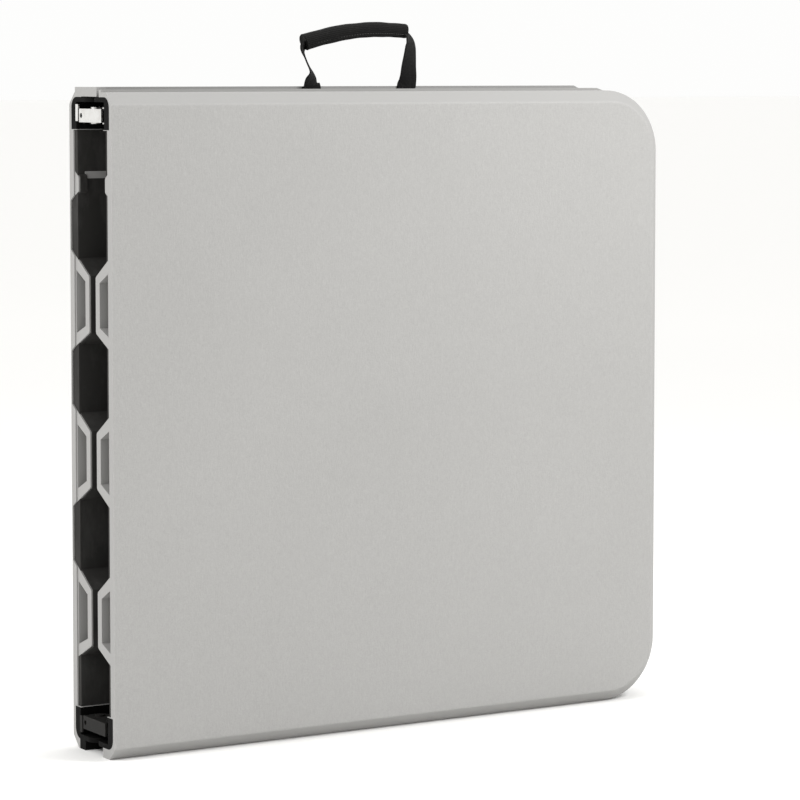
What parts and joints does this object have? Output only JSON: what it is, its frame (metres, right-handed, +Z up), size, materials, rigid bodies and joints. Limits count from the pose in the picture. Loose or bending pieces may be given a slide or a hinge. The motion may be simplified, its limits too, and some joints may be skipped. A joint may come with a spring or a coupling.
{
  "type": "folding table",
  "caption": "Fold-in-half plastic table shown folded on its long edge, with swinging telescopic legs, side rails, fold hinges and a webbing carry handle.",
  "frame": {"origin": "centre of the folded table's footprint, on the plane its long edge stands on", "axes": "+Z up, +X from the fold edge to the rounded outer end, +Y from the near tabletop to the far one (through the thickness)"},
  "size_m": [0.6066, 0.086, 0.6707],
  "materials": {
    "panel_plastic": "fine woven-look texture, warm light grey blow-moulded polyethylene",
    "black_plastic": "satin black moulding",
    "black_nylon": "satin nylon",
    "foot_rubber": "matt",
    "frame_paint": "fine textured powder coat",
    "wire_steel": "powder-coated wire",
    "zinc_steel": "bright zinc plate",
    "dark_zinc": "black-passivated zinc plate",
    "bright_steel": "zinc-plated",
    "webbing": "woven flat webbing",
    "grip_webbing": "rolled and sewn webbing"
  },
  "bodies": {
    "near_half": {"panel_near": "panel_plastic", "edge_liner_near": "black_plastic", "rail_screws_near": "bright_steel", "brace_clip_near": "black_nylon", "side_rail_near_top": "frame_paint", "hinge_cap_near_top": "black_plastic", "side_rail_near_bottom": "frame_paint", "hinge_cap_near_bottom": "black_plastic"},
    "far_half": {"panel_far": "panel_plastic", "edge_liner_far": "black_plastic", "rail_screws_far": "bright_steel", "brace_clip_far": "black_nylon", "side_rail_far_top": "frame_paint", "hinge_cap_far_top": "black_plastic", "side_rail_far_bottom": "frame_paint", "hinge_cap_far_bottom": "black_plastic", "hinge_keeper_top": "zinc_steel", "hinge_keeper_bottom": "dark_zinc", "strap_tab_left": "webbing", "strap_tab_right": "webbing", "strap_rivet_left": "bright_steel", "strap_rivet_right": "bright_steel"},
    "hinge_links": {"hinge_link_top": "zinc_steel", "hinge_link_bottom": "dark_zinc", "fold_pin_near_top": "bright_steel", "fold_pin_near_bottom": "dark_zinc", "fold_pin_far_top": "bright_steel", "fold_pin_far_bottom": "dark_zinc"},
    "carry_handle": {"carry_strap": "webbing", "carry_grip": "grip_webbing"},
    "leg_frame_near": {"pivot_tube_near": "frame_paint", "crossbar_near": "frame_paint", "brace_bracket_near": "frame_paint", "upper_leg_near_low": "frame_paint", "upper_leg_near_high": "frame_paint", "leg_bushing_near_low": "black_nylon", "leg_bushing_near_high": "black_nylon"},
    "brace_wire_near": {"brace_near": "wire_steel"},
    "telescope_near_low": {"lower_leg_near_low": "frame_paint", "foot_cap_near_low": "foot_rubber"},
    "button_near_low": {"snap_button_near_low": "bright_steel"},
    "telescope_near_high": {"lower_leg_near_high": "frame_paint", "foot_cap_near_high": "foot_rubber"},
    "button_near_high": {"snap_button_near_high": "bright_steel"},
    "leg_frame_far": {"pivot_tube_far": "frame_paint", "crossbar_far": "frame_paint", "brace_bracket_far": "frame_paint", "upper_leg_far_low": "frame_paint", "upper_leg_far_high": "frame_paint", "leg_bushing_far_low": "black_nylon", "leg_bushing_far_high": "black_nylon"},
    "brace_wire_far": {"brace_far": "wire_steel"},
    "telescope_far_low": {"lower_leg_far_low": "frame_paint", "foot_cap_far_low": "foot_rubber"},
    "button_far_low": {"snap_button_far_low": "bright_steel"},
    "telescope_far_high": {"lower_leg_far_high": "frame_paint", "foot_cap_far_high": "foot_rubber"},
    "button_far_high": {"snap_button_far_high": "bright_steel"}
  },
  "joints": [
    {"name": "fold_near", "type": "hinge", "parent": "near_half", "child": "hinge_links", "pos_m": [-0.29175, -0.012, 0.305], "axis": [0, 0, 1], "range_deg": [0, 90]},
    {"name": "fold_far", "type": "hinge", "parent": "hinge_links", "child": "far_half", "pos_m": [-0.29175, 0.012, 0.305], "axis": [0, 0, 1], "range_deg": [0, 90]},
    {"name": "leg_swing_near", "type": "hinge", "parent": "near_half", "child": "leg_frame_near", "pos_m": [0.25125, -0.012, 0.305], "axis": [0, 0, -1], "range_deg": [0, 90]},
    {"name": "brace_swing_near", "type": "hinge", "parent": "leg_frame_near", "child": "brace_wire_near", "pos_m": [0.06425, -0.012, 0.305], "axis": [0, 0, 1], "range_deg": [0, 144.2]},
    {"name": "leg_slide_near_low", "type": "slide", "parent": "leg_frame_near", "child": "telescope_near_low", "axis": [-1, 0, 0], "range_m": [0, 0.3]},
    {"name": "button_push_near_low", "type": "slide", "parent": "telescope_near_low", "child": "button_near_low", "axis": [0, 0, -1], "range_m": [0, 0.005], "stiffness_N_per_m": 120, "springref_m": 0.008},
    {"name": "leg_slide_near_high", "type": "slide", "parent": "leg_frame_near", "child": "telescope_near_high", "axis": [-1, 0, 0], "range_m": [0, 0.3]},
    {"name": "button_push_near_high", "type": "slide", "parent": "telescope_near_high", "child": "button_near_high", "axis": [0, 0, 1], "range_m": [0, 0.005], "stiffness_N_per_m": 120, "springref_m": 0.008},
    {"name": "leg_swing_far", "type": "hinge", "parent": "far_half", "child": "leg_frame_far", "pos_m": [0.25125, 0.012, 0.305], "axis": [0, 0, 1], "range_deg": [0, 90]},
    {"name": "brace_swing_far", "type": "hinge", "parent": "leg_frame_far", "child": "brace_wire_far", "pos_m": [0.06425, 0.012, 0.305], "axis": [0, 0, -1], "range_deg": [0, 144.2]},
    {"name": "leg_slide_far_low", "type": "slide", "parent": "leg_frame_far", "child": "telescope_far_low", "axis": [-1, 0, 0], "range_m": [0, 0.3]},
    {"name": "button_push_far_low", "type": "slide", "parent": "telescope_far_low", "child": "button_far_low", "axis": [0, 0, 1], "range_m": [0, 0.005], "stiffness_N_per_m": 120, "springref_m": 0.008},
    {"name": "leg_slide_far_high", "type": "slide", "parent": "leg_frame_far", "child": "telescope_far_high", "axis": [-1, 0, 0], "range_m": [0, 0.3]},
    {"name": "button_push_far_high", "type": "slide", "parent": "telescope_far_high", "child": "button_far_high", "axis": [0, 0, -1], "range_m": [0, 0.005], "stiffness_N_per_m": 120, "springref_m": 0.008},
    {"name": "handle_swing", "type": "hinge", "parent": "far_half", "child": "carry_handle", "pos_m": [-0.01025, 0.0172, 0.611], "axis": [1, 0, 0], "range_deg": [-75, 75]}
  ],
  "couplings": [
    {"joint": "fold_far", "follows": "fold_near", "ratio": 1},
    {"joint": "leg_swing_near", "follows": "fold_near", "ratio": 1},
    {"joint": "brace_swing_near", "follows": "fold_near", "ratio": 1.601},
    {"joint": "leg_swing_far", "follows": "fold_near", "ratio": 1},
    {"joint": "brace_swing_far", "follows": "fold_near", "ratio": 1.601}
  ]
}
